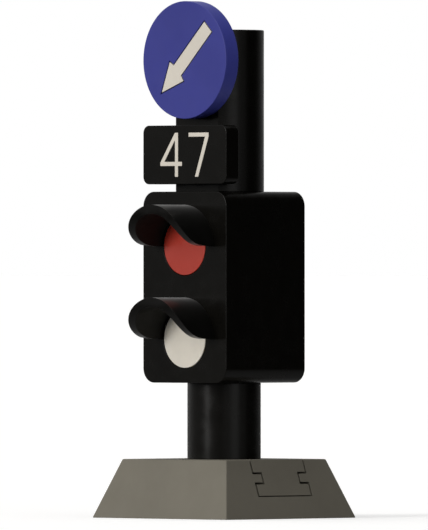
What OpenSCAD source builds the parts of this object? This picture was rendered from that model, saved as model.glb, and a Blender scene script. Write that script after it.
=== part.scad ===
// Model two-lamp shunting signal on a round mast, with a direction disc and a number plate.
// Millimetres. +Z is up, the signal faces -Y, and the origin is on the mast's axis at the base's underside.
// The mast's foot is an I-section key that slides into the base from the right. A three-pole jack
// socket in the foot takes the layout's feed plug from below, through the hole in the base's floor.

/* [Base] */
// Width of the base's top face, left to right
base_top_w = 25; // [24:0.5:28]
// Depth of the base's top face, front to back
base_top_d = 24; // [22:0.5:28]
// Slope of the base's four sides, degrees from vertical
base_draft = 20; // [10:1:24]
// Radius of the hole in the base's floor for the feed plug's sleeve
plug_hole_r = 4.5; // [4:0.1:5]

/* [Foot key] */
// Width of the key's flanges
key_flange_w = 12.6; // [12.6:0.1:13.4]
// Width of the key's waist
key_waist_w = 8.65; // [8:0.05:9.5]
// Clearance between the key and its slot, on each side
key_gap = 0.22; // [0.08:0.01:0.25]
// How far the key reaches past the mast's axis, to the slot's closed end
key_reach = 8; // [7:0.5:9]

/* [Mast] */
// Outer radius of the lower mast tube
lower_mast_r = 6.25; // [6:0.05:6.3]
// Length of the lower mast that shows between the base and the head
lower_mast_h = 13; // [13:0.5:25]
// Radius of the upper mast
upper_mast_r = 7.5; // [7.3:0.1:8]
// Height of the upper mast above the head
upper_mast_h = 27.5; // [27:0.5:32]

/* [Head] */
// Width of the signal head
head_w = 20; // [20:0.5:22]
// Depth of the signal head, front to back
head_d = 19; // [19:0.5:20]
// Height of the signal head
head_h = 32.5; // [32.5:0.5:36]
// Corner radius of the head, seen from the front
head_corner_r = 2.5; // [1.8:0.1:3.2]
// Height of the lower lamp's centre above the head's underside
lower_lamp_h = 7.5; // [7.5:0.1:7.8]
// Distance between the two lamps' centres
lamp_pitch = 15.75; // [15.5:0.05:16.2]
// Radius of the lenses where they show
lens_r = 4.95; // [4.6:0.05:5]

/* [Visors] */
// How far the visors stand out from the head's face
visor_len = 8; // [7:0.5:10]
// Outer radius of the visors
visor_r = 7; // [6.8:0.1:7.2]
// Wall thickness of the visors
visor_wall = 1.5; // [1:0.1:1.5]
// Radius of the visors' rounded lower front corners
visor_corner_r = 6; // [4:0.5:6]

/* [Disc and number plate] */
// Radius of the direction disc
disc_r = 10; // [9:0.5:10]
// Thickness of the disc and of the number plate
sign_t = 3; // [2.5:0.1:3.5]
// Overall length of the arrow
arrow_len = 15.8; // [13:0.1:16]
// Direction in which the arrow points, degrees from straight down towards the viewer's left
arrow_turn = 45; // [0:5:90]
// Height of the number plate
plate_h = 10; // [9.5:0.1:10.4]
// Height of the digits
digit_h = 7.5; // [6:0.1:8]

/* [Hidden] */
$fn = 64;

base_h = 10;
key_z0 = 3.85;              // underside of the key
key_z1 = 5.95;              // top of its lower flange
key_z2 = 7.80;              // underside of its upper flange
slot_floor = 3.75;
base_top_z = base_h;

head_z0 = base_top_z + lower_mast_h;
head_z1 = head_z0 + head_h;
front_y = -head_d / 2;
rear_y = head_d / 2;
lamp_lo = head_z0 + lower_lamp_h;
lamp_hi = lamp_lo + lamp_pitch;
side_wall = 1.5;
face_wall = 2;
cav_w = head_w - 2 * side_wall;      // the head's inside
cav_z0 = head_z0 + 2;
cav_z1 = head_z1 - 2;
cav_r = 1;

tube_bore_r = 5;
spigot_r = 4.95;
spigot_h = 6;
wire_bore_r = 3.2;
jack_r = 3.5;
jack_bore_r = 1.8;
jack_z0 = 4;
jack_depth = 10;

um_y = -1;                           // upper mast's axis
flat_y = front_y + sign_t;           // its flat front, where the disc and the plate sit
um_z0 = head_z1;
um_z1 = um_z0 + upper_mast_h;
um_screw_x = 5.45;

plate_z = head_z1 + 1.25 + plate_h / 2;
disc_z = plate_z + plate_h / 2 + 1.1 + disc_r;

board_y0 = 2.5;
board_y1 = 4.1;
baffle_y0 = front_y + face_wall + 0.95;
baffle_y1 = board_y0 - 0.05;
post_z = (lamp_lo + lamp_hi) / 2;
cover_y0 = rear_y - 1.5;

jet = [0.105, 0.10, 0.09];
stone = [0.47, 0.45, 0.41];
ivory = [0.82, 0.79, 0.74];

// A rectangle w by h with rounded corners, centred
module round_rect(w, h, r) {
    square([w - 2 * r, h], center = true);
    square([w, h - 2 * r], center = true);
    for (sx = [-1, 1], sy = [-1, 1]) translate([sx * (w / 2 - r), sy * (h / 2 - r)]) circle(r);
}

// Stands a 2D shape up in the XZ plane and gives it a depth from y0 to y1
module from_front(y0, y1) {
    translate([0, y1, 0]) rotate([90, 0, 0]) linear_extrude(height = y1 - y0) children();
}

// A cylinder along Y from y0 to y1, on the axis (x, z)
module ycyl(r, y0, y1, x = 0, z = 0) {
    translate([x, y1, z]) rotate([90, 0, 0]) cylinder(r = r, h = y1 - y0);
}

// The base's outline seen from the front (w is the top width), as a prism through the whole depth
module side_slopes(w) {
    k = base_h * tan(base_draft);
    rotate([90, 0, 0]) linear_extrude(height = 80, center = true)
        polygon([[-w / 2 - k, 0], [w / 2 + k, 0], [w / 2, base_h], [-w / 2, base_h]]);
}

// The I-section of the key seen from its end, grown by c on every side and run up to z_top
module key_section(c, z0, z_top) {
    f = key_flange_w / 2 + c;
    n = key_waist_w / 2 + c;
    polygon([[-f, z0], [f, z0], [f, key_z1 + c], [n, key_z1 + c], [n, key_z2 - c], [f, key_z2 - c],
        [f, z_top], [-f, z_top], [-f, key_z2 - c], [-n, key_z2 - c], [-n, key_z1 + c], [-f, key_z1 + c]]);
}

// Extrudes a section drawn in the YZ plane along X
module along_x(x0, x1) {
    translate([x0, 0, 0]) rotate([90, 0, 90]) linear_extrude(height = x1 - x0) children();
}

module base_block() color(stone) difference() {
    intersection() {
        side_slopes(base_top_w);
        rotate([0, 0, 90]) side_slopes(base_top_d);
    }
    along_x(-key_reach - 0.05, 40) key_section(key_gap, slot_floor, base_h + 5);
    translate([0, 0, -1]) cylinder(r = plug_hole_r, h = slot_floor + 2);
}

module foot_key() color(stone) difference() {
    union() {
        intersection() {
            along_x(-key_reach, 40) key_section(0, key_z0, base_top_z);
            side_slopes(base_top_w);
        }
        translate([0, 0, base_top_z - 1]) cylinder(r = spigot_r, h = spigot_h + 1);
    }
    cylinder(r = jack_r + 0.05, h = base_top_z + spigot_h + 1);
    ycyl(1, 2.5, 6, 0, base_top_z + 3);
}

module feed_jack() color([0.12, 0.12, 0.13]) {
    difference() {
        translate([0, 0, jack_z0]) cylinder(r = jack_r, h = jack_depth + 1);
        translate([0, 0, jack_z0 - 1]) cylinder(r = jack_bore_r, h = jack_depth + 1);
    }
    for (k = [-1, 0, 1]) translate([1.9 * k - 0.6, -0.2, jack_z0 + jack_depth + 0.5]) cube([1.2, 0.4, 2.7]);
}

module lower_mast() color(jet) difference() {
    translate([0, 0, base_top_z]) cylinder(r = lower_mast_r, h = lower_mast_h);
    translate([0, 0, base_top_z - 1]) cylinder(r = tube_bore_r, h = lower_mast_h + 2);
    ycyl(1, 3, 8, 0, base_top_z + 3);
    ycyl(1, 3, 8, 0, head_z0 - 3);
}

module mast_grub_screws() color([0.35, 0.35, 0.36]) for (z = [base_top_z + 3, head_z0 - 3]) difference() {
    ycyl(0.95, 3.65, 6.05, 0, z);
    translate([0, 7, z]) rotate([90, 0, 0]) cylinder(r = 0.55, h = 2, $fn = 6);
}

module head_housing() color(jet) difference() {
    union() {
        from_front(front_y, rear_y) translate([0, (head_z0 + head_z1) / 2]) round_rect(head_w, head_h, head_corner_r);
        translate([0, 0, head_z0 - spigot_h]) cylinder(r = spigot_r, h = spigot_h + 1);
    }
    from_front(front_y + face_wall, rear_y + 1) translate([0, (cav_z0 + cav_z1) / 2]) round_rect(cav_w, cav_z1 - cav_z0, cav_r);
    for (z = [lamp_lo, lamp_hi]) {
        ycyl(lens_r + 0.1, front_y - 1, front_y + face_wall + 1, 0, z);
        for (a = [25, 90, 155])
            ycyl(0.65, front_y - 1, front_y + face_wall + 1, visor_peg_r() * cos(a), z + visor_peg_r() * sin(a));
    }
    translate([0, 0, head_z0 - spigot_h - 1]) cylinder(r = wire_bore_r, h = spigot_h + 4);
    ycyl(1, 2.5, 6, 0, head_z0 - 3);
    for (s = [-1, 1]) translate([s * um_screw_x, um_y, cav_z1 - 1]) cylinder(r = 1.3, h = 4);
}

function visor_peg_r() = visor_r - visor_wall / 2;

// A hood over the lamp at height z: the upper half of a tube, with its lower front corners rounded away
module visor(z) color(jet) {
    intersection() {
        difference() {
            ycyl(visor_r, front_y - visor_len, front_y, 0, z);
            ycyl(visor_r - visor_wall, front_y - visor_len - 1, front_y + 1, 0, z);
        }
        translate([-20, front_y, z]) rotate([90, 0, 90]) linear_extrude(height = 40) {
            translate([-(visor_len - visor_corner_r), 0]) square([visor_len - visor_corner_r, 12]);
            translate([-visor_len, visor_corner_r]) square([visor_len, 12 - visor_corner_r]);
            translate([-(visor_len - visor_corner_r), visor_corner_r]) circle(visor_corner_r);
        }
    }
    for (a = [25, 90, 155])
        ycyl(0.6, front_y - 0.5, front_y + 1.5, visor_peg_r() * cos(a), z + visor_peg_r() * sin(a));
}

module upper_visor() visor(lamp_hi);
module lower_visor() visor(lamp_lo);

// A flat-faced lens that fills the hole in the housing, with a flange behind the front wall
module lens(z) {
    ycyl(lens_r, front_y, front_y + face_wall + 0.5, 0, z);
    ycyl(lens_r + 0.4, front_y + face_wall, front_y + face_wall + 0.9, 0, z);
}

module red_lens() color([0.63, 0.25, 0.21]) lens(lamp_hi);
module white_lens() color(ivory) lens(lamp_lo);

// Keeps the two lamps' light apart and holds the lenses forward
module lamp_baffle() color([0.16, 0.16, 0.16]) difference() {
    from_front(baffle_y0, baffle_y1)
        translate([0, (cav_z0 + 0.1 + cav_z1 - 1.9) / 2]) round_rect(cav_w - 0.2, cav_z1 - cav_z0 - 2, 1.2);
    for (z = [lamp_lo, lamp_hi]) ycyl(4.3, baffle_y0 - 1, baffle_y1 + 1, 0, z);
    translate([-12, -3.4, cav_z0 - 3]) cube([24, 12, 6.5]);
    for (s = [-1, 1]) ycyl(0.85, -3, baffle_y1 + 1, s * 6.6, post_z);
}

// A 5 mm LED with its two leads through the board
module led(z) {
    tip_y = baffle_y0 + 0.4;
    ycyl(2.5, tip_y + 2.5, board_y0 - 0.8, 0, z);
    translate([0, tip_y + 2.5, z]) sphere(r = 2.5);
    ycyl(2.9, board_y0 - 1.05, board_y0 - 0.05, 0, z);
    for (s = [-1, 1]) ycyl(0.25, board_y0 - 0.5, board_y1 + 1.1, s * 1.27, z);
}

module red_led() color([0.72, 0.12, 0.10, 0.85]) led(lamp_hi);
module white_led() color([0.93, 0.93, 0.88, 0.85]) led(lamp_lo);

pad_z = lamp_lo + 3.7;
board_z0 = cav_z0 + 3.6;
board_z1 = cav_z1 - 2.3;

module lamp_board() color([0.07, 0.30, 0.16]) difference() {
    translate([-7.9, board_y0, board_z0]) cube([15.8, board_y1 - board_y0, board_z1 - board_z0]);
    for (z = [lamp_lo, lamp_hi], s = [-1, 1]) ycyl(0.4, board_y0 - 1, board_y1 + 1, s * 1.27, z);
    for (k = [-1, 0, 1]) ycyl(0.45, board_y0 - 1, board_y1 + 1, 2.54 * k, pad_z);
    for (s = [-1, 1]) ycyl(1, board_y0 - 1, board_y1 + 1, s * 6.6, post_z);
    for (s = [-1, 1], z = [-3.8, 3.8]) ycyl(0.4, board_y0 - 1, board_y1 + 1, s * 3.9, post_z + 2.6 + z);
}

// Two resistors lying on the back of the board, one for each lamp
module series_resistors() color([0.78, 0.68, 0.50]) for (s = [-1, 1]) translate([s * 3.9, board_y1 + 1, post_z + 2.6]) {
    translate([0, 0, -2.25]) cylinder(r = 0.9, h = 4.5);
    translate([0, 0, -3.8]) cylinder(r = 0.25, h = 7.6);
    for (z = [-3.8, 3.8]) {
        ycyl(0.25, -1 - 1.4, 0, 0, z);
        translate([0, 0, z]) sphere(r = 0.25);
    }
}

module board_screws() color([0.6, 0.6, 0.62]) for (s = [-1, 1]) difference() {
    union() {
        ycyl(0.8, -2, board_y1 + 0.5, s * 6.6, post_z);
        ycyl(1.25, board_y1, board_y1 + 1, s * 6.6, post_z);
    }
    translate([s * 6.6 - 2, board_y1 + 0.6, post_z - 0.2]) cube([4, 1, 0.4]);
}

// The wires run from pads on the board, down through the head's spigot and the mast, to the jack's lugs.
// Each route is for the wire k places right of the middle one.
function route(k) = [
    [2.54 * k, 4.80, pad_z - 0.4], [2.54 * k, 4.95, pad_z - 2.6], [2.4 * k, 4.90, cav_z0 + 3.8],
    [1.9 * k, 3.70, cav_z0 + 1.7], [1.35 * k, 1.70, cav_z0 - 0.3], [1.25 * k, 1.00, cav_z0 - 2.6],
    [1.3 * k, 0.80, head_z0 - 3], [1.6 * k, 0.76, head_z0 - 4.6],
    [1.9 * k, 0.74, jack_z0 + jack_depth + 3.4], [1.9 * k, 0.74, jack_z0 + jack_depth + 1.7]];
function mix(p, i, t) = let (a = p[max(i - 1, 0)], b = p[i], c = p[i + 1], d = p[min(i + 2, len(p) - 1)])
    0.5 * (2 * b + (c - a) * t + (2 * a - 5 * b + 4 * c - d) * t * t + (3 * b - a - 3 * c + d) * t * t * t);
function smooth(p, n) = concat([for (i = [0:len(p) - 2], j = [0:n - 1]) mix(p, i, j / n)], [p[len(p) - 1]]);
function unit(v) = v / norm(v);
function heading(p, i) = unit(p[min(i + 1, len(p) - 1)] - p[max(i - 1, 0)]);

// A round wire of radius r swept along the points of path
module swept(path, r) {
    n = 8;
    m = len(path);
    pts = [for (i = [0:m - 1]) let (t = heading(path, i), u = unit(cross(t, [1, 0, 0])), v = cross(t, u))
        for (k = [0:n - 1]) path[i] + r * (cos(360 * k / n) * u + sin(360 * k / n) * v)];
    polyhedron(pts, concat(
        [[for (k = [0:n - 1]) k]],
        [[for (k = [0:n - 1]) (m - 1) * n + n - 1 - k]],
        [for (i = [0:m - 2], k = [0:n - 1]) [i * n + k, (i + 1) * n + k, (i + 1) * n + (k + 1) % n]],
        [for (i = [0:m - 2], k = [0:n - 1]) [i * n + k, (i + 1) * n + (k + 1) % n, i * n + (k + 1) % n]]));
}

module wire(k) {
    swept(smooth(route(k), 3), 0.5);
    ycyl(0.4, board_y0, 4.9, 2.54 * k, pad_z);
    translate([2.54 * k, 4.75, pad_z - 0.1]) sphere(r = 0.6);
}

module common_wire() color([0.10, 0.10, 0.11]) wire(0);
module red_wire() color([0.62, 0.08, 0.07]) wire(-1);
module white_wire() color([0.85, 0.84, 0.80]) wire(1);

module upper_mast() color(jet) difference() {
    translate([0, um_y, um_z0]) cylinder(r = upper_mast_r, h = upper_mast_h);
    translate([-20, flat_y - 20, um_z0 - 1]) cube([40, 20, upper_mast_h + 2]);
    translate([0, um_y, um_z0 - 1]) cylinder(r = 3.2, h = upper_mast_h - 2);
    for (s = [-1, 1]) translate([s * um_screw_x, um_y, um_z0 - 1]) cylinder(r = 1.25, h = 9);
    for (z = disc_peg_z()) ycyl(1.05, flat_y - 1, flat_y + 1.7, 0, z);
    for (s = [-1, 1]) ycyl(1.05, flat_y - 1, flat_y + 1.7, s * 3, plate_z);
}

function disc_peg_z() = [disc_z - 4, um_z1 - 2.5];

module upper_mast_screws() color([0.6, 0.6, 0.62]) for (s = [-1, 1]) translate([s * um_screw_x, um_y, 0]) difference() {
    union() {
        translate([0, 0, cav_z1 - 1.5]) cylinder(r = 2.2, h = 1.5);
        translate([0, 0, cav_z1 - 0.5]) cylinder(r = 1.2, h = 8.5);
    }
    for (a = [0, 90]) rotate([0, 0, a]) translate([-1.1, -0.25, cav_z1 - 2]) cube([2.2, 0.5, 1.2]);
}

// The arrow, pointing straight down and centred on the disc
module arrow() {
    h = arrow_len / 2;
    polygon([[0, -h], [2.36, -h + 5.15], [1.27, -h + 5.4], [1.27, h], [-1.27, h], [-1.27, -h + 5.4], [-2.36, -h + 5.15]]);
}

module sign_disc() color([0.25, 0.26, 0.53]) {
    difference() {
        ycyl(disc_r, front_y, flat_y, 0, disc_z);
        from_front(front_y - 1, front_y + 1) translate([0, disc_z]) rotate(-arrow_turn) offset(delta = 0.1) arrow();
    }
    for (z = disc_peg_z()) ycyl(1, flat_y - 0.5, flat_y + 1.6, 0, z);
}

module sign_arrow() color(ivory)
    from_front(front_y, front_y + 0.95) translate([0, disc_z]) rotate(-arrow_turn) arrow();

// The figures 4 and 7, built from straight strokes, each drawn 7.5 high from its lower left corner
module four() difference() {
    polygon([[0, 1.85], [3.5, 1.85], [3.5, 0], [4.25, 0], [4.25, 1.85], [5.2, 1.85], [5.2, 2.55],
        [4.25, 2.55], [4.25, 7.5], [3.5, 7.5], [0, 2.45]]);
    polygon([[0.957, 2.55], [3.5, 2.55], [3.5, 6.22]]);
}
module seven() polygon([[0, 7.5], [4.8, 7.5], [4.8, 6.85], [2.3, 0], [1.5, 0], [3.95, 6.8], [0, 6.8]]);
module figures() scale(digit_h / 7.5) {
    translate([-5.85, -3.75]) four();
    translate([0.95, -3.75]) seven();
}

module number_plate() color(jet) {
    difference() {
        from_front(front_y, flat_y) translate([0, plate_z]) round_rect(20, plate_h, 1.3);
        from_front(front_y - 1, front_y + 0.8) translate([0, plate_z]) offset(delta = 0.06) figures();
    }
    for (s = [-1, 1]) ycyl(1, flat_y - 0.5, flat_y + 1.6, s * 3, plate_z);
}

module number_digits() color(ivory) from_front(front_y, front_y + 0.75) translate([0, plate_z]) figures();

// A push-fit lid, flush in the back of the head, with a rim that grips inside and a notch to pull it by
module rear_cover() color(jet) {
    zm = (cav_z0 + cav_z1) / 2;
    hh = cav_z1 - cav_z0;
    difference() {
        from_front(cover_y0, rear_y) translate([0, zm]) round_rect(cav_w - 0.2, hh - 0.2, 0.95);
        translate([-3, rear_y - 0.8, cav_z0 - 1]) cube([6, 2, 2.2]);
    }
    difference() {
        from_front(cover_y0 - 2.4, cover_y0 + 0.2) translate([0, zm]) round_rect(cav_w - 0.4, hh - 0.4, 0.9);
        from_front(cover_y0 - 4, cover_y0 + 0.1) translate([0, zm]) round_rect(cav_w - 2.4, hh - 2.4, 0.5);
    }
}

base_block();
foot_key();
feed_jack();
lower_mast();
mast_grub_screws();
head_housing();
upper_visor();
lower_visor();
red_lens();
white_lens();
lamp_baffle();
red_led();
white_led();
lamp_board();
series_resistors();
board_screws();
common_wire();
red_wire();
white_wire();
upper_mast();
upper_mast_screws();
sign_disc();
sign_arrow();
number_plate();
number_digits();
rear_cover();
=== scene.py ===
import math

import bmesh
import bpy
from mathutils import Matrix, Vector


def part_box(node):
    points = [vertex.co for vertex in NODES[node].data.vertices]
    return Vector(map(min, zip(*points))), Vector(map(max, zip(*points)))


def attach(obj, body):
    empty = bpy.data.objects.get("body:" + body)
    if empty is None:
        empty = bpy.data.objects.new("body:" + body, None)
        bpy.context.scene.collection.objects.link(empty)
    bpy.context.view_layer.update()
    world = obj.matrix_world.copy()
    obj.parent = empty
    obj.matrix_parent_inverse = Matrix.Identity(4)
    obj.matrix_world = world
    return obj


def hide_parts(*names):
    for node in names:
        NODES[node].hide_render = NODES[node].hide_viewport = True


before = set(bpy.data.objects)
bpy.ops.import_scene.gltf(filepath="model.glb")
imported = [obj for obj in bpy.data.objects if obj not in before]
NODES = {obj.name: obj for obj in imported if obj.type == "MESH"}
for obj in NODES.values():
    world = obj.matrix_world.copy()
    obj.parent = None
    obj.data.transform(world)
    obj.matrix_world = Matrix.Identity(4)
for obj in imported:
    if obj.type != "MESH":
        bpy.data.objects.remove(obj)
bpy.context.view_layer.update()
scene = bpy.context.scene
MM = 0.001


# ---------------------------------------------------------------- measures, in millimetres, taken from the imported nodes
def mm_box(node):
    lo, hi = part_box(node)
    return [c / MM for c in lo], [c / MM for c in hi]


BASE_LO, BASE_HI = mm_box("base_block")
HEAD_LO, HEAD_HI = mm_box("head_housing")
TUBE_LO, TUBE_HI = mm_box("lower_mast")
UM_LO, UM_HI = mm_box("upper_mast")
DISC_LO, DISC_HI = mm_box("sign_disc")
PLATE_LO, PLATE_HI = mm_box("number_plate")
RL_LO, RL_HI = mm_box("red_lens")
WL_LO, WL_HI = mm_box("white_lens")
UV_LO, UV_HI = mm_box("upper_visor")
COV_LO, COV_HI = mm_box("rear_cover")
KEY_LO, KEY_HI = mm_box("foot_key")

FRONT, REAR = HEAD_LO[1], HEAD_HI[1]
HEAD_W = HEAD_HI[0] - HEAD_LO[0]
HEAD_Z0, HEAD_Z1 = TUBE_HI[2], HEAD_HI[2]
BASE_TOP = BASE_HI[2]
DRAFT = math.tan(math.radians(20))
BASE_TOP_W = BASE_HI[0] * 2 - 2 * BASE_TOP * DRAFT
BASE_TOP_D = BASE_HI[1] * 2 - 2 * BASE_TOP * DRAFT
FLAT = UM_LO[1]
LAMP_HI = (RL_LO[2] + RL_HI[2]) / 2
LAMP_LO = (WL_LO[2] + WL_HI[2]) / 2
DISC_R = (DISC_HI[0] - DISC_LO[0]) / 2
DISC_Z = (DISC_HI[2] + DISC_LO[2]) / 2
PLATE_Z = (PLATE_HI[2] + PLATE_LO[2]) / 2
VISOR_R = (UV_HI[0] - UV_LO[0]) / 2
CAV_W, CAV_Z0, CAV_Z1 = HEAD_W - 3, HEAD_Z0 + 2, HEAD_Z1 - 2


# ---------------------------------------------------------------- outlines: each gives the same points at any inward offset
def round_rect(w, h, r, cz=0.0, n=14):
    def outline(o):
        ww, hh, rr = w / 2 - o, h / 2 - o, max(r - o, 0.02)
        pts = []
        for i, (sx, sz) in enumerate([(1, 1), (-1, 1), (-1, -1), (1, -1)]):
            for k in range(n + 1):
                a = math.radians(90 * i + 90 * k / n)
                pts.append((sx * (ww - rr) + rr * math.cos(a), cz + sz * (hh - rr) + rr * math.sin(a)))
        return pts
    return outline


def circle(r, cx=0.0, cz=0.0, n=128):
    def outline(o):
        return [(cx + (r - o) * math.cos(2 * math.pi * k / n), cz + (r - o) * math.sin(2 * math.pi * k / n)) for k in range(n)]
    return outline


def polygon(pts):
    """A polygon, anticlockwise, with a mitred inward offset."""
    m = len(pts)

    def outline(o):
        out = []
        for i in range(m):
            p, a, b = Vector(pts[i]), Vector(pts[i - 1]), Vector(pts[(i + 1) % m])
            d1, d2 = (p - a).normalized(), (b - p).normalized()
            n1, n2 = Vector((-d1.y, d1.x)), Vector((-d2.y, d2.x))
            s = n1 + n2
            out.append(tuple(p + s * (o / max(0.25, 1 + n1.dot(n2)))))
        return out
    return outline


def d_section(r, cy, flat, n=120):
    """The upper mast's section in the XY plane: a circle about (0, cy) cut by a flat at y = flat."""
    def outline(o):
        rr, f = r - o, flat + o
        a0 = math.asin((f - cy) / rr)
        start, sweep = a0, math.pi - 2 * a0
        return [(rr * math.cos(start + sweep * k / n), cy + rr * math.sin(start + sweep * k / n)) for k in range(n + 1)]
    return outline


def rounded(a0, a1, b0, b1, seg=4):
    """(height, inward offset) of each ring of a solid from a0 to a1 whose two rims are rounded by b0 and b1."""
    rings = []
    if b0 > 0:
        rings += [(a0 + b0 * (1 - math.cos(t)), b0 * (1 - math.sin(t))) for t in (math.pi / 2 * k / seg for k in range(seg + 1))]
    else:
        rings.append((a0, 0.0))
    if b1 > 0:
        rings += [(a1 - b1 * (1 - math.cos(t)), b1 * (1 - math.sin(t))) for t in (math.pi / 2 * k / seg for k in range(seg, -1, -1))]
    else:
        rings.append((a1, 0.0))
    return rings


# ---------------------------------------------------------------- meshes
def new_object(name, verts, faces):
    me = bpy.data.meshes.new(name)
    me.from_pydata([(x * MM, y * MM, z * MM) for x, y, z in verts], [], faces)
    bm = bmesh.new()
    bm.from_mesh(me)
    bmesh.ops.recalc_face_normals(bm, faces=bm.faces)
    bm.to_mesh(me)
    bm.free()
    ob = bpy.data.objects.new(name, me)
    scene.collection.objects.link(ob)
    return ob


def loft(name, rings):
    """A closed solid through rings of 3D points, capped at both ends."""
    n = len(rings[0])
    faces = [tuple(range(n - 1, -1, -1))]
    for i in range(len(rings) - 1):
        for k in range(n):
            a, b = i * n + k, i * n + (k + 1) % n
            faces.append((a, b, b + n, a + n))
    faces.append(tuple((len(rings) - 1) * n + k for k in range(n)))
    return new_object(name, [p for r in rings for p in r], faces)


def prism_y(name, outline, y0, y1, b0=0.0, b1=0.0, seg=4):
    return loft(name, [[(x, y, z) for x, z in outline(o)] for y, o in rounded(y0, y1, b0, b1, seg)])


def prism_z(name, outline, z0, z1, b0=0.0, b1=0.0, seg=4):
    return loft(name, [[(x, y, z) for x, y in outline(o)] for z, o in rounded(z0, z1, b0, b1, seg)])


def prism_x(name, outline, x0, x1):
    return loft(name, [[(x, y, z) for y, z in outline(0)] for x in (x0, x1)])


def ring_z(name, profile, cx=0.0, cy=0.0, n=128):
    """A closed profile of (radius, z) turned about the vertical axis at (cx, cy)."""
    m = len(profile)
    verts = [(cx + r * math.cos(2 * math.pi * k / n), cy + r * math.sin(2 * math.pi * k / n), z) for k in range(n) for r, z in profile]
    faces = [(k * m + i, ((k + 1) % n) * m + i, ((k + 1) % n) * m + (i + 1) % m, k * m + (i + 1) % m) for k in range(n) for i in range(m)]
    return new_object(name, verts, faces)


def boolean(ob, other, how):
    mod = ob.modifiers.new("cut", "BOOLEAN")
    mod.operation, mod.solver, mod.object = how, "EXACT", other
    bpy.context.view_layer.update()
    me = bpy.data.meshes.new_from_object(ob.evaluated_get(bpy.context.evaluated_depsgraph_get()))
    ob.modifiers.remove(mod)
    old = ob.data
    ob.data = me
    me.name = ob.name
    bpy.data.meshes.remove(old)
    data = other.data
    bpy.data.objects.remove(other)
    bpy.data.meshes.remove(data)
    return ob


def cut(ob, *others):
    for other in others:
        boolean(ob, other, "DIFFERENCE")
    return ob


def join(ob, *others):
    for other in others:
        boolean(ob, other, "UNION")
    return ob


def hole_y(r, y0, y1, x=0.0, z=0.0, flare=0.0, n=96):
    """A round cutter along Y whose mouth at y0 opens by a small rounded flare."""
    rings = [(y0 - 1.0, -flare)]
    if flare:
        rings += [(y0 + flare * (1 - math.cos(t)) , -flare * (1 - math.sin(t))) for t in (math.pi / 2 * k / 4 for k in range(5))]
    rings.append((y1, 0.0))
    c = circle(r, x, z, n)
    return loft("cutter", [[(px, y, pz) for px, pz in c(o)] for y, o in rings])


def hole_z(r, z0, z1, x=0.0, y=0.0, n=96):
    return prism_z("cutter", circle(r, x, y, n), z0, z1)


def soften(ob, width, angle=50, seg=2):
    """A small rounded edge on every corner sharper than the angle."""
    mod = ob.modifiers.new("edges", "BEVEL")
    mod.width, mod.segments, mod.limit_method = width * MM, seg, "ANGLE"
    mod.angle_limit = math.radians(angle)
    mod.use_clamp_overlap = True
    mod.miter_outer = "MITER_ARC"
    return ob


def shade(ob, angle=32):
    for p in ob.data.polygons:
        p.use_smooth = True
    ob.data.set_sharp_from_angle(angle=math.radians(angle))
    mod = ob.modifiers.new("normals", "WEIGHTED_NORMAL")
    mod.keep_sharp = True
    mod.weight = 100
    return ob


def piece(ob, body, nodes, mat, angle=32):
    ob.data.materials.clear()
    ob.data.materials.append(mat)
    shade(ob, angle)
    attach(ob, body)
    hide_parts(*nodes)
    return ob


# ---------------------------------------------------------------- materials
def principled(name):
    mat = bpy.data.materials.new(name)
    mat.use_nodes = True
    return mat, mat.node_tree, mat.node_tree.nodes["Principled BSDF"]


def noise(nt, scale, detail=3.0, rough=0.55, stretch=None):
    tc = nt.nodes.new("ShaderNodeTexCoord")
    n = nt.nodes.new("ShaderNodeTexNoise")
    n.inputs["Scale"].default_value = scale
    n.inputs["Detail"].default_value = detail
    n.inputs["Roughness"].default_value = rough
    if stretch:
        m = nt.nodes.new("ShaderNodeMapping")
        m.inputs["Scale"].default_value = stretch
        nt.links.new(tc.outputs["Object"], m.inputs["Vector"])
        nt.links.new(m.outputs["Vector"], n.inputs["Vector"])
    else:
        nt.links.new(tc.outputs["Object"], n.inputs["Vector"])
    return n


def spread(nt, source, lo, hi, socket, f0=0.35, f1=0.65):
    r = nt.nodes.new("ShaderNodeMapRange")
    r.inputs["From Min"].default_value, r.inputs["From Max"].default_value = f0, f1
    r.inputs["To Min"].default_value, r.inputs["To Max"].default_value = lo, hi
    nt.links.new(source, r.inputs["Value"])
    nt.links.new(r.outputs["Result"], socket)


def two_tone(nt, source, a, b, socket, f0=0.35, f1=0.65):
    ramp = nt.nodes.new("ShaderNodeValToRGB")
    e = ramp.color_ramp.elements
    e[0].position, e[0].color = f0, (*a, 1)
    e[1].position, e[1].color = f1, (*b, 1)
    nt.links.new(source, ramp.inputs["Fac"])
    nt.links.new(ramp.outputs["Color"], socket)


def plastic(name, rgb, vary=0.06, rough=(0.38, 0.5), level=0.5, grain=2600, height=0.012, strength=0.25, mottle=140):
    """Moulded or printed plastic: a fine grain in the surface, and slow changes of tone and gloss."""
    mat, nt, p = principled(name)
    slow = noise(nt, mottle, 4)
    two_tone(nt, slow.outputs["Fac"], [c * (1 - vary) for c in rgb], [c * (1 + vary) for c in rgb], p.inputs["Base Color"])
    mid = noise(nt, mottle * 3.2, 3)
    spread(nt, mid.outputs["Fac"], rough[0], rough[1], p.inputs["Roughness"])
    fine = noise(nt, grain, 2)
    bump = nt.nodes.new("ShaderNodeBump")
    bump.inputs["Strength"].default_value = strength
    bump.inputs["Distance"].default_value = height * MM
    nt.links.new(fine.outputs["Fac"], bump.inputs["Height"])
    nt.links.new(bump.outputs["Normal"], p.inputs["Normal"])
    p.inputs["Specular IOR Level"].default_value = level
    return mat


def metal(name, rgb, rough=(0.22, 0.36), brushed=(1, 1, 14)):
    mat, nt, p = principled(name)
    p.inputs["Metallic"].default_value = 1.0
    n = noise(nt, 900, 3, stretch=brushed)
    two_tone(nt, n.outputs["Fac"], [c * 0.88 for c in rgb], [c * 1.08 for c in rgb], p.inputs["Base Color"])
    spread(nt, n.outputs["Fac"], rough[0], rough[1], p.inputs["Roughness"])
    return mat


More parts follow.
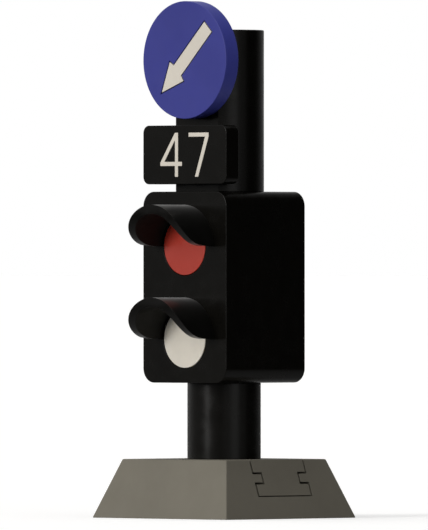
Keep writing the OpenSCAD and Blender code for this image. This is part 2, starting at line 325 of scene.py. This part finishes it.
def lens_material(name, rgb, deep, cz):
    """A tinted lens: a clear glossy skin over a body with slow changes of tone and gloss."""
    mat, nt, p = principled(name)
    slow = noise(nt, 260, 3)
    two_tone(nt, slow.outputs["Fac"], [c * 0.96 for c in rgb], [c * 1.03 for c in rgb], p.inputs["Base Color"])
    spread(nt, slow.outputs["Fac"], 0.30, 0.40, p.inputs["Roughness"])
    p.inputs["Subsurface Weight"].default_value = 0.25
    p.inputs["Subsurface Radius"].default_value = deep
    p.inputs["Subsurface Scale"].default_value = 0.0008
    p.inputs["Coat Weight"].default_value = 0.35
    p.inputs["Coat Roughness"].default_value = 0.12
    p.inputs["Specular IOR Level"].default_value = 0.35
    return mat


BLACK = plastic("black_plastic", (0.0030, 0.0027, 0.0021), 0.10, (0.20, 0.28), 0.15, 2400, 0.005, 0.12)
VISOR = plastic("visor_plastic", (0.0026, 0.0024, 0.0020), 0.10, (0.28, 0.36), 0.14, 2400, 0.004, 0.12)
VISOR.node_tree.nodes["Principled BSDF"].inputs["Sheen Weight"].default_value = 0.31      # a soft bloom of light along the tops
VISOR.node_tree.nodes["Principled BSDF"].inputs["Sheen Roughness"].default_value = 0.27
# the hood's inside: a real matte finish, with a lighter base colour than the outside that is painted reflected light
VISOR_INSIDE_MATTE_PAINTED_LIGHT = plastic("visor_inside_matte_painted_light", (0.0120, 0.0118, 0.0105), 0.10, (0.46, 0.56), 0.12, 2400, 0.004, 0.12)
INSIDE = plastic("baffle_plastic", (0.012, 0.012, 0.012), 0.10, (0.6, 0.75), 0.4, 1800, 0.02, 0.3)
STONE = plastic("base_stone", (0.143, 0.1325, 0.1070), 0.05, (0.62, 0.78), 0.18, 1500, 0.03, 0.35, 90)
BLUE = plastic("disc_blue", (0.039, 0.044, 0.238), 0.04, (0.34, 0.44), 0.22, 2400, 0.008, 0.15)
# a lighter copy of the disc's blue for its rim: painted light on the edge that faces the side
BLUE_RIM_PAINTED_LIGHT = plastic("disc_blue_rim_painted_light", (0.055, 0.064, 0.345), 0.04, (0.34, 0.44), 0.22, 2400, 0.008, 0.15)
IVORY = plastic("ivory_plastic", (0.635, 0.592, 0.520), 0.025, (0.40, 0.52), 0.25, 2400, 0.008, 0.15)
RED_LENS = lens_material("red_lens_plastic", (0.39, 0.033, 0.018), (1.0, 0.2, 0.1), LAMP_HI)
WHITE_LENS = lens_material("white_lens_plastic", (0.67, 0.63, 0.552), (1.0, 0.9, 0.7), LAMP_LO)
STEEL = metal("steel", (0.50, 0.50, 0.51))
DARK_STEEL = metal("black_steel", (0.09, 0.09, 0.095), (0.3, 0.45))


# ---------------------------------------------------------------- base, with its slot
def frustum_rings(grow=0.0):
    def at(z, o, r=0.16):
        k = (BASE_TOP - z) * DRAFT
        return [(x, y, z) for x, y in round_rect(BASE_TOP_W + 2 * k, BASE_TOP_D + 2 * k, r, n=5)(o)]
    return [at(z, o) for z, o in rounded(0, BASE_TOP, 0.15, 0.2, 4)]


KEY_Z = (3.85, 5.95, 7.80)
GAP = 0.22


def key_outline(c, z0, top):
    f, n = 6.3 + c, 4.325 + c
    return polygon([(-f, z0), (f, z0), (f, KEY_Z[1] + c), (n, KEY_Z[1] + c), (n, KEY_Z[2] - c), (f, KEY_Z[2] - c),
                    (f, top), (-f, top), (-f, KEY_Z[2] - c), (-n, KEY_Z[2] - c), (-n, KEY_Z[1] + c), (-f, KEY_Z[1] + c)])


base = loft("base_block.body", frustum_rings())
cut(base, prism_x("cutter", key_outline(GAP, 3.75, 16), -8.05, 40), hole_z(4.5, -2, 5))
soften(base, 0.09, 40, 3)
piece(base, "base", ["base_block"], STONE)

# ---------------------------------------------------------------- foot key
key = prism_x("foot_key.body", key_outline(-0.10, KEY_Z[0] + 0.08, BASE_TOP), -8, 17)
bm = bmesh.new()
bm.from_mesh(key.data)
slope = bmesh.ops.bisect_plane(bm, geom=bm.verts[:] + bm.edges[:] + bm.faces[:], plane_co=(BASE_TOP_W / 2 * MM, 0, BASE_TOP * MM),
                               plane_no=(math.cos(math.radians(20)), 0, math.sin(math.radians(20))), clear_outer=True)
bmesh.ops.contextual_create(bm, geom=[g for g in slope["geom_cut"] if isinstance(g, bmesh.types.BMEdge)])
bmesh.ops.recalc_face_normals(bm, faces=bm.faces)
bm.to_mesh(key.data)
bm.free()
join(key, prism_z("cutter", circle(4.95), BASE_TOP - 1, BASE_TOP + 6))
cut(key, hole_z(3.55, 0, 20), hole_y(1, 2.5, 6, 0, BASE_TOP + 3, n=32))
soften(key, 0.09, 40, 3)
piece(key, "mast", ["foot_key"], STONE)


# ---------------------------------------------------------------- lower mast
def tube_profile(r, bore, z0, z1, b):
    seg = 3
    out = [(r - b * (1 - math.sin(t)), z0 + b * (1 - math.cos(t))) for t in (math.pi / 2 * k / seg for k in range(seg + 1))]
    out += [(r - b * (1 - math.sin(t)), z1 - b * (1 - math.cos(t))) for t in (math.pi / 2 * k / seg for k in range(seg, -1, -1))]
    return out + [(bore, z1), (bore, z0)]


tube = ring_z("lower_mast.body", tube_profile(6.25, 5.0, TUBE_LO[2], TUBE_HI[2], 0.12))
cut(tube, hole_y(1, 3, 8, 0, BASE_TOP + 3, n=32), hole_y(1, 3, 8, 0, HEAD_Z0 - 3, n=32))
soften(tube, 0.06, 60)
piece(tube, "mast", ["lower_mast"], BLACK)

# ---------------------------------------------------------------- head
HZ = (HEAD_Z0 + HEAD_Z1) / 2
CZ = (CAV_Z0 + CAV_Z1) / 2
head = prism_y("head_housing.body", round_rect(HEAD_W, HEAD_Z1 - HEAD_Z0, 2.5, HZ), FRONT, REAR, 0.12, 0.14)
join(head, prism_z("cutter", circle(4.95), HEAD_Z0 - 6, HEAD_Z0 + 1))
cav = round_rect(CAV_W, CAV_Z1 - CAV_Z0, 1.0, CZ)
cut(head, loft("cutter", [[(x, y, z) for x, z in cav(o)] for y, o in ((FRONT + 2, 0), (REAR - 0.15, 0), (REAR - 0.05, -0.05), (REAR, -0.15), (REAR + 1, -0.15))]))
for z in (LAMP_LO, LAMP_HI):
    cut(head, hole_y(5.05, FRONT, FRONT + 3, 0, z, flare=0.06))
    for a in (25, 90, 155):
        cut(head, hole_y(0.65, FRONT - 1, FRONT + 3, 6.25 * math.cos(math.radians(a)), z + 6.25 * math.sin(math.radians(a)), n=24))
cut(head, hole_z(3.2, HEAD_Z0 - 7, HEAD_Z0 + 3), hole_y(1, 2.5, 6, 0, HEAD_Z0 - 3, n=32),
    hole_z(1.3, CAV_Z1 - 1, HEAD_Z1 + 1, 5.45, -1, 32), hole_z(1.3, CAV_Z1 - 1, HEAD_Z1 + 1, -5.45, -1, 32))
piece(head, "mast", ["head_housing"], BLACK)


# ---------------------------------------------------------------- visors
def visor(name, node, cz):
    """Half a tube whose lower front corners follow a round of radius 6. The grid runs round (phi), and across the wall (rho)."""
    ro, ri, reach, rc = VISOR_R, VISOR_R - 1.5, FRONT - UV_LO[1], 6.0

    def far(h):
        return reach if h >= rc else reach - rc + math.sqrt(max(0.0, rc * rc - (rc - h) ** 2))
    n_phi, n_rho, n_len = 96, 4, 12
    phis = [math.pi * k / n_phi for k in range(n_phi + 1)]
    # the section's loop at each phi: from the wall out along the outside, across the rim, back along the inside
    loops = []
    for ph in phis:
        c, s = math.cos(ph), math.sin(ph)
        loop = [(ro, far(ro * s) * k / n_len) for k in range(n_len + 1)]
        loop += [(ro + (ri - ro) * k / n_rho, far((ro + (ri - ro) * k / n_rho) * s)) for k in range(1, n_rho)]
        loop += [(ri, far(ri * s) * k / n_len) for k in range(n_len, -1, -1)]
        loops.append([(rho * c, FRONT - y, cz + rho * s) for rho, y in loop])
    ob = loft(name, loops)
    for a in (25, 90, 155):
        x, z = 6.25 * math.cos(math.radians(a)), cz + 6.25 * math.sin(math.radians(a))
        join(ob, prism_y("cutter", circle(0.6, x, z, 24), FRONT - 0.5, FRONT + 1.5))
    soften(ob, 0.16, 48, 3)
    piece(ob, "mast", [node], VISOR, 40)
    # the inner faces take the matte inside material, whose lighter colour is painted reflected light
    ob.data.materials.append(VISOR_INSIDE_MATTE_PAINTED_LIGHT)
    for f in ob.data.polygons:
        out = Vector((f.center.x, 0, f.center.z - cz * MM))
        if out.length < (ri + 0.1) * MM and f.normal.dot(out) < 0 and abs(f.normal.y) < 0.5:
            f.material_index = 1
    return ob


visor("upper_visor.body", "upper_visor", LAMP_HI)
visor("lower_visor.body", "lower_visor", LAMP_LO)


# ---------------------------------------------------------------- lenses
def lens(name, node, cz, mat):
    r = 4.95
    rings = [(y, o) for y, o in rounded(FRONT, FRONT + 2, 0.1, 0.0, 3)]
    rings += [(FRONT + 2, -0.4), (FRONT + 2.9, -0.4)]
    c = circle(r, 0, cz)
    ob = loft(name, [[(x, y, z) for x, z in c(o)] for y, o in rings])
    return piece(ob, "mast", [node], mat)


lens("red_lens.body", "red_lens", LAMP_HI, RED_LENS)
lens("white_lens.body", "white_lens", LAMP_LO, WHITE_LENS)

# ---------------------------------------------------------------- upper mast
um = prism_z("upper_mast.body", d_section(7.5, -1, FLAT), UM_LO[2], UM_HI[2], 0.1, 0.22)
cut(um, hole_z(3.2, UM_LO[2] - 1, UM_HI[2] - 3))
for s in (-1, 1):
    cut(um, hole_z(1.25, UM_LO[2] - 1, UM_LO[2] + 8, 5.45 * s, -1, 32), hole_y(1.05, FLAT - 1, FLAT + 1.7, 3 * s, PLATE_Z, n=32))
for z in (DISC_Z - 4, UM_HI[2] - 2.5):
    cut(um, hole_y(1.05, FLAT - 1, FLAT + 1.7, 0, z, n=32))
soften(um, 0.08, 60)
piece(um, "mast", ["upper_mast"], BLACK)


# ---------------------------------------------------------------- direction disc and its arrow
def turned(pts, degrees, cz):
    a = math.radians(degrees)
    return [(x * math.cos(a) - z * math.sin(a), cz + x * math.sin(a) + z * math.cos(a)) for x, z in pts]


H = 7.9
ARROW = [(0, -H), (2.36, -H + 5.15), (1.27, -H + 5.4), (1.27, H), (-1.27, H), (-1.27, -H + 5.4), (-2.36, -H + 5.15)]
disc = prism_y("sign_disc.body", circle(DISC_R, 0, DISC_Z, 192), FRONT, FLAT, 0.11, 0.14)
for z in (DISC_Z - 4, UM_HI[2] - 2.5):
    join(disc, prism_y("cutter", circle(1, 0, z, 32), FLAT - 0.5, FLAT + 1.6))
pocket = polygon(turned(ARROW, -45, DISC_Z))
cut(disc, loft("cutter", [[(x, y, z) for x, z in pocket(o)] for y, o in ((FRONT - 1, -0.17), (FRONT, -0.17), (FRONT + 0.04, -0.14), (FRONT + 1, -0.13))]))
piece(disc, "mast", ["sign_disc"], BLUE)
# the rim faces take the lighter blue, which is painted light
disc.data.materials.append(BLUE_RIM_PAINTED_LIGHT)
for f in disc.data.polygons:
    if abs(f.normal.y) < 0.35 and math.hypot(f.center.x, f.center.z - DISC_Z * MM) > (DISC_R - 0.25) * MM:
        f.material_index = 1
arrow = prism_y("sign_arrow.body", lambda o: pocket(o + 0.05), FRONT, FRONT + 0.95, 0.06, 0.0, 4)
piece(arrow, "mast", ["sign_arrow"], IVORY)

# ---------------------------------------------------------------- number plate and its figures
FOUR = [(0, 1.85), (3.5, 1.85), (3.5, 0), (4.25, 0), (4.25, 1.85), (5.2, 1.85), (5.2, 2.55), (4.25, 2.55), (4.25, 7.5), (3.5, 7.5), (0, 2.45)]
FOUR_EYE = [(0.957, 2.55), (3.5, 2.55), (3.5, 6.22)]
SEVEN = [(0, 7.5), (0, 6.8), (3.95, 6.8), (1.5, 0), (2.3, 0), (4.8, 6.85), (4.8, 7.5)]


def placed(pts, dx):
    return polygon([(x + dx, z - 3.75 + PLATE_Z) for x, z in pts])


def flared(outline, c):
    return loft("cutter", [[(x, y, z) for x, z in outline(o)] for y, o in ((FRONT - 1, -c - 0.05), (FRONT, -c - 0.05), (FRONT + 0.04, -c), (FRONT + 0.8, -c))])


plate = prism_y("number_plate.body", round_rect(20, PLATE_HI[2] - PLATE_LO[2], 1.3, PLATE_Z), FRONT, FLAT, 0.11, 0.14)
for s in (-1, 1):
    join(plate, prism_y("cutter", circle(1, 3 * s, PLATE_Z, 32), FLAT - 0.5, FLAT + 1.6))
four_pocket = flared(placed(FOUR, -5.85), 0.06)
island = placed(FOUR_EYE, -5.85)
cut(four_pocket, loft("cutter", [[(x, y, z) for x, z in island(o)] for y, o in ((FRONT - 2, 0.11), (FRONT, 0.11), (FRONT + 0.04, 0.06), (FRONT + 2, 0.06))]))
cut(plate, four_pocket, flared(placed(SEVEN, 0.95), 0.06))
piece(plate, "mast", ["number_plate"], BLACK)

digits = prism_y("number_digits.body", placed(FOUR, -5.85), FRONT, FRONT + 0.75, 0.04, 0.0, 2)
eye = placed(FOUR_EYE, -5.85)
cut(digits, loft("cutter", [[(x, y, z) for x, z in eye(o)] for y, o in ((FRONT - 1, -0.04), (FRONT, -0.04), (FRONT + 0.04, 0), (FRONT + 2, 0))]))
join(digits, prism_y("cutter", placed(SEVEN, 0.95), FRONT, FRONT + 0.75, 0.04, 0.0, 2))
piece(digits, "mast", ["number_digits"], IVORY)

# ---------------------------------------------------------------- rear cover
HH = CAV_Z1 - CAV_Z0
cover = prism_y("rear_cover.body", round_rect(CAV_W - 0.2, HH - 0.2, 0.95, CZ), REAR - 1.5, REAR, 0.0, 0.14)
rim = prism_y("cutter", round_rect(CAV_W - 0.4, HH - 0.4, 0.9, CZ), REAR - 3.9, REAR - 1.3)
cut(rim, prism_y("cutter", round_rect(CAV_W - 2.4, HH - 2.4, 0.5, CZ), REAR - 6, REAR - 1.4))
join(cover, rim)
cut(cover, loft("cutter", [[(x, y, z) for x, y in ((-3, REAR - 0.8), (3, REAR - 0.8), (3, REAR + 2), (-3, REAR + 2))] for z in (CAV_Z0 - 1, CAV_Z0 + 1.2)]))
soften(cover, 0.08, 60)
piece(cover, "cover", ["rear_cover"], BLACK)

# ---------------------------------------------------------------- inner pieces that keep their CAD shape
RED_EPOXY = plastic("red_epoxy", (0.50, 0.02, 0.015), 0.05, (0.08, 0.16), 0.6, 800, 0.004, 0.1)
CLEAR_EPOXY = plastic("clear_epoxy", (0.74, 0.74, 0.68), 0.04, (0.08, 0.16), 0.6, 800, 0.004, 0.1)
JACK = plastic("jack_black", (0.014, 0.014, 0.015), 0.08, (0.3, 0.42), 0.5, 1800, 0.01, 0.2)
BOARD = plastic("board_green", (0.010, 0.085, 0.030), 0.25, (0.28, 0.40), 0.5, 900, 0.02, 0.3, 700)
TAN = plastic("resistor_tan", (0.55, 0.40, 0.22), 0.05, (0.35, 0.45), 0.5, 1500, 0.01, 0.2)
BOARD_LO, BOARD_HI = mm_box("lamp_board")
TIN = (0.62, 0.61, 0.58)


def axis_mm(nt, axis, middle):
    """The distance along one axis from a plane, in millimetres."""
    split = nt.nodes.new("ShaderNodeSeparateXYZ")
    nt.links.new(nt.nodes.new("ShaderNodeTexCoord").outputs["Object"], split.inputs["Vector"])
    m = nt.nodes.new("ShaderNodeMath")
    m.operation = "MULTIPLY_ADD"
    m.inputs[1].default_value, m.inputs[2].default_value = 1000.0, -middle
    nt.links.new(split.outputs[axis], m.inputs[0])
    return m.outputs["Value"]


def tinned(mat, axis, middle, beyond, both=False):
    """Bright tinned wire wherever the piece reaches further than a distance from a plane."""
    nt = mat.node_tree
    p = nt.nodes["Principled BSDF"]
    at = axis_mm(nt, axis, middle)
    if both:
        side = nt.nodes.new("ShaderNodeMath")
        side.operation = "ABSOLUTE"
        nt.links.new(at, side.inputs[0])
        at = side.outputs["Value"]
    past = nt.nodes.new("ShaderNodeMath")
    past.operation = "GREATER_THAN"
    past.inputs[1].default_value = beyond
    nt.links.new(at, past.inputs[0])
    pick = nt.nodes.new("ShaderNodeMix")
    pick.data_type = "RGBA"
    nt.links.new(past.outputs["Value"], pick.inputs[0])
    nt.links.new(p.inputs["Base Color"].links[0].from_socket, pick.inputs[6])
    pick.inputs[7].default_value = (*TIN, 1)
    nt.links.new(pick.outputs[2], p.inputs["Base Color"])
    nt.links.new(past.outputs["Value"], p.inputs["Metallic"])
    return mat


def banded(mat, middle, bands):
    """Painted rings round a body that stands along Z: (from, to, colour) in millimetres from its middle."""
    nt = mat.node_tree
    p = nt.nodes["Principled BSDF"]
    at = axis_mm(nt, "Z", middle)
    for lo, hi, rgb in bands:
        near = nt.nodes.new("ShaderNodeMath")
        near.operation = "COMPARE"
        near.inputs[1].default_value, near.inputs[2].default_value = (lo + hi) / 2, (hi - lo) / 2
        nt.links.new(at, near.inputs[0])
        pick = nt.nodes.new("ShaderNodeMix")
        pick.data_type = "RGBA"
        nt.links.new(near.outputs["Value"], pick.inputs[0])
        nt.links.new(p.inputs["Base Color"].links[0].from_socket, pick.inputs[6])
        pick.inputs[7].default_value = (*rgb, 1)
        nt.links.new(pick.outputs[2], p.inputs["Base Color"])
    return mat


RESISTOR_Z = (LAMP_LO + LAMP_HI) / 2 + 2.6
BROWN = (0.085, 0.028, 0.012)
banded(TAN, RESISTOR_Z, [(1.35, 1.70, BROWN), (0.60, 0.95, (0.012, 0.012, 0.012)), (-0.15, 0.20, BROWN), (-1.70, -1.35, (0.42, 0.27, 0.07))])
tinned(TAN, "Z", RESISTOR_Z, 2.27, both=True)
tinned(RED_EPOXY, "Y", BOARD_LO[1], -0.04)
tinned(CLEAR_EPOXY, "Y", BOARD_LO[1], -0.04)
INNER = {"feed_jack": JACK, "mast_grub_screws": DARK_STEEL, "lamp_baffle": INSIDE, "red_led": RED_EPOXY, "white_led": CLEAR_EPOXY,
         "lamp_board": BOARD, "series_resistors": TAN, "board_screws": STEEL, "upper_mast_screws": STEEL}
for name, mat in INNER.items():
    o = NODES[name]
    for i in range(len(o.material_slots)):
        o.material_slots[i].material = mat
    if not o.material_slots:
        o.data.materials.append(mat)

WIRES = {"common_wire": (0, (0.012, 0.012, 0.013)), "red_wire": (-1, (0.36, 0.012, 0.010)), "white_wire": (1, (0.70, 0.69, 0.65))}
for name, (k, rgb) in WIRES.items():
    o = NODES[name]
    mat = tinned(plastic(name + "_pvc", rgb, 0.05, (0.35, 0.48), 0.5, 2000, 0.01, 0.2), "Z", LAMP_LO + 3.7, -0.62)
    for i in range(len(o.material_slots)):
        o.material_slots[i].material = mat
    o.modifiers.new("joined", "WELD").merge_threshold = 0.001 * MM
    turn = o.modifiers.new("rounder", "SUBSURF")
    turn.levels = turn.render_levels = 1

# ---------------------------------------------------------------- floor, light, camera
FLOOR = 1.0
mat = bpy.data.materials.new("floor")
mat.use_nodes = True
nt = mat.node_tree
nt.nodes.clear()
shown = nt.nodes.new("ShaderNodeBsdfDiffuse")      # what the camera sees: a pale floor, lifted by an even fill
shown.inputs["Color"].default_value = (0.86, 0.86, 0.86, 1)
fill = nt.nodes.new("ShaderNodeEmission")
fill.inputs["Strength"].default_value = 0.28
lit = nt.nodes.new("ShaderNodeAddShader")
nt.links.new(shown.outputs["BSDF"], lit.inputs[0])
nt.links.new(fill.outputs["Emission"], lit.inputs[1])
bounce = nt.nodes.new("ShaderNodeBsdfDiffuse")     # what it throws back: less with distance, as if flagged off
where = nt.nodes.new("ShaderNodeNewGeometry")
far = nt.nodes.new("ShaderNodeVectorMath")
far.operation = "LENGTH"
nt.links.new(where.outputs["Position"], far.inputs[0])
fade = nt.nodes.new("ShaderNodeMapRange")
fade.interpolation_type = "SMOOTHSTEP"
fade.inputs["From Min"].default_value, fade.inputs["From Max"].default_value = 0.04, 0.22
fade.inputs["To Min"].default_value, fade.inputs["To Max"].default_value = 0.40, 0.02
nt.links.new(far.outputs["Value"], fade.inputs["Value"])
nt.links.new(fade.outputs["Result"], bounce.inputs["Color"])
ray = nt.nodes.new("ShaderNodeLightPath")
pick = nt.nodes.new("ShaderNodeMixShader")
nt.links.new(ray.outputs["Is Camera Ray"], pick.inputs["Fac"])
nt.links.new(bounce.outputs["BSDF"], pick.inputs[1])
nt.links.new(lit.outputs["Shader"], pick.inputs[2])
nt.links.new(pick.outputs["Shader"], nt.nodes.new("ShaderNodeOutputMaterial").inputs["Surface"])
me = bpy.data.meshes.new("floor")
me.from_pydata([(-40, -40, 0), (40, -40, 0), (40, 40, 0), (-40, 40, 0)], [], [(0, 1, 2, 3)])
floor = bpy.data.objects.new("floor", me)
floor.data.materials.append(mat)
scene.collection.objects.link(floor)

world = bpy.data.worlds.new("studio")
scene.world = world
world.use_nodes = True
wn = world.node_tree
wn.nodes.clear()
out = wn.nodes.new("ShaderNodeOutputWorld")
tc = wn.nodes.new("ShaderNodeTexCoord")
def band(vector, f0, f1, t0, t1):
    dot = wn.nodes.new("ShaderNodeVectorMath")
    dot.operation = "DOT_PRODUCT"
    dot.inputs[1].default_value = Vector(vector).normalized()
    wn.links.new(tc.outputs["Generated"], dot.inputs[0])
    r = wn.nodes.new("ShaderNodeMapRange")
    r.interpolation_type = "SMOOTHSTEP"
    r.inputs["From Min"].default_value, r.inputs["From Max"].default_value = f0, f1
    r.inputs["To Min"].default_value, r.inputs["To Max"].default_value = t0, t1
    wn.links.new(dot.outputs["Value"], r.inputs["Value"])
    return r.outputs["Result"]


def total(a, b):
    m = wn.nodes.new("ShaderNodeMath")
    m.operation = "ADD"
    wn.links.new(a, m.inputs[0])
    wn.links.new(b, m.inputs[1])
    return m.outputs["Value"]


lamps = [
    band((0, 0, 1), 0.66, 0.99, 0.0, 1.10),            # a soft box overhead
    band((-0.70, -0.70, 0), -0.5, 0.9, 0.004, 0.66),   # a broad light from the front left
    band((-0.05, -1.00, 0), 0.70, 1.00, 0.0, 0.10),    # a little more from straight ahead
    band((-0.70, 0.70, -0.28), 0.20, 0.90, 0.0, 0.38),     # a dim one behind
    band((0.99, 0.08, 0), 0.88, 0.96, 0.0, 0.53),      # a dim panel on the right
    band((0.98, -0.21, 0), 0.955, 0.985, 0.0, 0.92),   # with a brighter strip beside it
    band((0.87, -0.36, 0.30), 0.80, 0.97, 0.0, 0.80),  # and a raised one
]
level = lamps[0]
for lamp in lamps[1:]:
    level = total(level, lamp)
amb = wn.nodes.new("ShaderNodeBackground")
amb.inputs["Color"].default_value = (1, 0.995, 0.985, 1)
wn.links.new(level, amb.inputs["Strength"])
seen = wn.nodes.new("ShaderNodeBackground")
seen.inputs["Color"].default_value = (FLOOR, FLOOR, FLOOR, 1)
seen.inputs["Strength"].default_value = 1.0
path = wn.nodes.new("ShaderNodeLightPath")
mix = wn.nodes.new("ShaderNodeMixShader")
wn.links.new(path.outputs["Is Camera Ray"], mix.inputs["Fac"])
wn.links.new(amb.outputs["Background"], mix.inputs[1])
wn.links.new(seen.outputs["Background"], mix.inputs[2])
wn.links.new(mix.outputs["Shader"], out.inputs["Surface"])

key_light = bpy.data.lights.new("key", "SUN")
key_light.energy = 1.85
key_light.angle = math.radians(22)
key_light.color = (1.0, 0.985, 0.965)
sun = bpy.data.objects.new("key", key_light)
sun.rotation_mode = "QUATERNION"
sun.rotation_quaternion = Vector((-0.16, -0.95, 0.26)).to_track_quat("Z", "Y")
scene.collection.objects.link(sun)

scene.view_settings.view_transform = "Standard"
scene.view_settings.look = "None"
scene.view_settings.exposure = 0
scene.view_settings.gamma = 1

LENS = 1000.0
cam_data = bpy.data.cameras.new("camera")
cam_data.lens, cam_data.sensor_width = LENS, 36
cam_data.clip_start, cam_data.clip_end = 0.05, 100
cam = bpy.data.objects.new("camera", cam_data)
scene.collection.objects.link(cam)
scene.camera = cam
distance = 0.09025 * LENS / 36
side = Vector((math.sqrt(0.5), math.sqrt(0.5), 0))
away = Vector((math.sqrt(0.5), -math.sqrt(0.5), 0))
aim = side * (-1.716 * MM) + Vector((0, 0, 43.025 * MM))
cam.location = aim + away * distance
cam.rotation_mode = "QUATERNION"
cam.rotation_quaternion = away.to_track_quat("Z", "Y")
